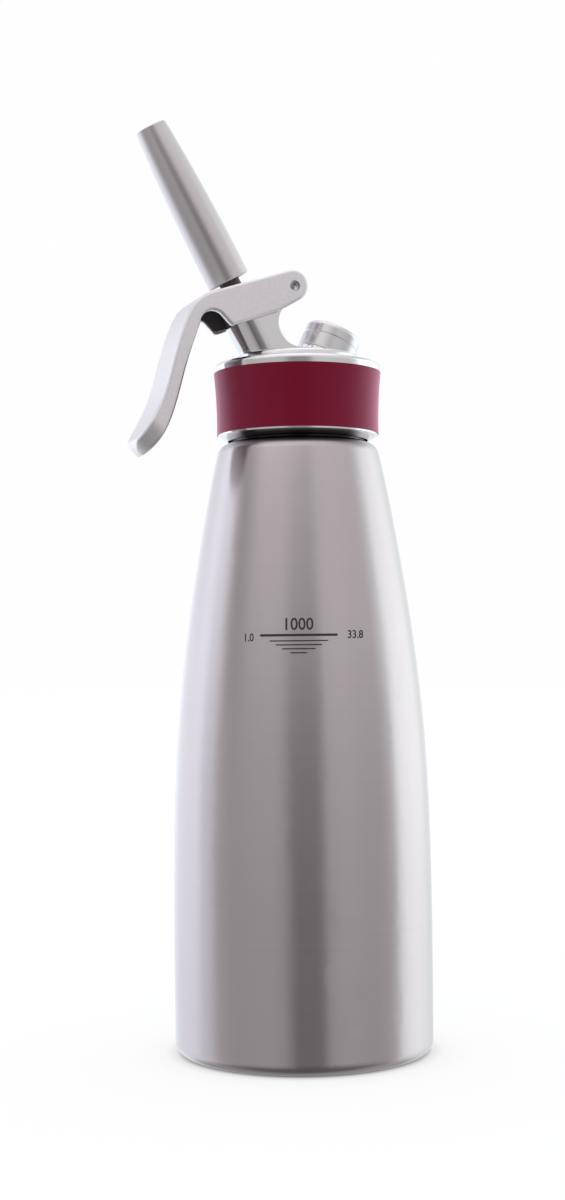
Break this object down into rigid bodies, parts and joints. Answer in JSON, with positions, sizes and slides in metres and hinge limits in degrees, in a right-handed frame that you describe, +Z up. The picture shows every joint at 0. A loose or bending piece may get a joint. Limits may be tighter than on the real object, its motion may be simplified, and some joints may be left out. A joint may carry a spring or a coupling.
{
  "type": "whipped cream dispenser",
  "caption": "Steel bottle with a screwed head, side lever, slanted tapered nozzle, leaning gas port under a cap and a coloured heat band.",
  "frame": {"origin": "centre of the bottle's base, on the surface it stands on", "axes": "+Z up the bottle's axis, the lever and the nozzle towards -X, the gas port towards +X, +Y across"},
  "size_m": [0.1118, 0.0956, 0.3422],
  "materials": {
    "bottle_steel": "fine vertical brushing, satin",
    "head_metal": "satin polish",
    "band_silicone": "satin silicone, deep wine red",
    "seal_rubber": "soft silicone, red",
    "dark_rubber": "matt nitrile, black",
    "lever_metal": "satin, bead blasted",
    "insert_black": "black moulded plastic",
    "pin_steel": "turned",
    "stem_steel": "turned",
    "spring_steel": "drawn wire",
    "guide_plastic": "natural low-friction plastic",
    "adapter_black": "black moulded plastic",
    "nozzle_steel": "fine lengthwise brushing",
    "port_steel": "turned",
    "cap_metal": "satin polish",
    "liner_plastic": "soft white plastic"
  },
  "bodies": {
    "bottle": {"bottle": "bottle_steel"},
    "seal_ring": {"head_seal": "seal_rubber"},
    "head": {"head_body": "head_metal", "silicone_band": "band_silicone", "lever_pin": "pin_steel", "stem_guide": "guide_plastic", "valve_spring": "spring_steel", "gas_port": "port_steel", "port_seal": "dark_rubber", "piercing_pin": "port_steel", "charger_seal": "dark_rubber", "check_spring": "spring_steel", "check_plug": "port_steel"},
    "lever": {"lever": "lever_metal", "lever_insert": "insert_black"},
    "valve": {"valve_stem": "stem_steel", "stem_cap": "adapter_black", "stem_o_rings": "dark_rubber", "valve_washer": "dark_rubber", "washer_nut": "stem_steel", "nozzle_adapter": "adapter_black"},
    "tip_seal": {"nozzle_seal": "dark_rubber"},
    "nozzle": {"decorator_nozzle": "nozzle_steel"},
    "check_valve": {"check_ball": "stem_steel"},
    "cap_disc": {"cap_liner": "liner_plastic"},
    "cap": {"protective_cap": "cap_metal"}
  },
  "joints": [
    {"name": "head_lift", "type": "slide", "parent": "bottle", "child": "seal_ring", "axis": [0, 0, 1], "range_m": [0, 0.01201]},
    {"name": "head_turn", "type": "hinge", "parent": "seal_ring", "child": "head", "pos_m": [0, 0, 0.235], "axis": [0, 0, 1], "range_deg": [0, 1080]},
    {"name": "lever_press", "type": "hinge", "parent": "head", "child": "lever", "pos_m": [-0.0048, 0, 0.2819], "axis": [0, -1, 0], "range_deg": [0, 12], "stiffness_Nm_per_rad": 4, "springref_deg": -6.88},
    {"name": "valve_travel", "type": "slide", "parent": "head", "child": "valve", "axis": [0.4726, 0, -0.8813], "range_m": [0, 0.0039], "deforming": ["valve_spring"]},
    {"name": "nozzle_lift", "type": "slide", "parent": "valve", "child": "tip_seal", "axis": [-0.4726, 0, 0.8813], "range_m": [0, 0.01051]},
    {"name": "nozzle_turn", "type": "hinge", "parent": "tip_seal", "child": "nozzle", "pos_m": [-0.03093, 0, 0.29275], "axis": [-0.4726, 0, 0.8813], "range_deg": [0, 2520]},
    {"name": "check_open", "type": "slide", "parent": "head", "child": "check_valve", "axis": [-0.4035, 0, -0.915], "range_m": [0, 0.0008], "stiffness_N_per_m": 60, "springref_m": -0.0006, "deforming": ["check_spring"]},
    {"name": "cap_lift", "type": "slide", "parent": "head", "child": "cap_disc", "axis": [0.4035, 0, 0.915], "range_m": [0, 0.00781]},
    {"name": "cap_turn", "type": "hinge", "parent": "cap_disc", "child": "cap", "pos_m": [0.01432, 0, 0.26549], "axis": [0.4035, 0, 0.915], "range_deg": [0, 1872]}
  ],
  "couplings": [
    {"joint": "head_lift", "follows": "head_turn", "m_per_rad": 0.00063662},
    {"joint": "valve_travel", "follows": "lever_press", "m_per_rad": 0.0185},
    {"joint": "nozzle_lift", "follows": "nozzle_turn", "m_per_rad": 0.00023873},
    {"joint": "cap_lift", "follows": "cap_turn", "m_per_rad": 0.00023873}
  ]
}
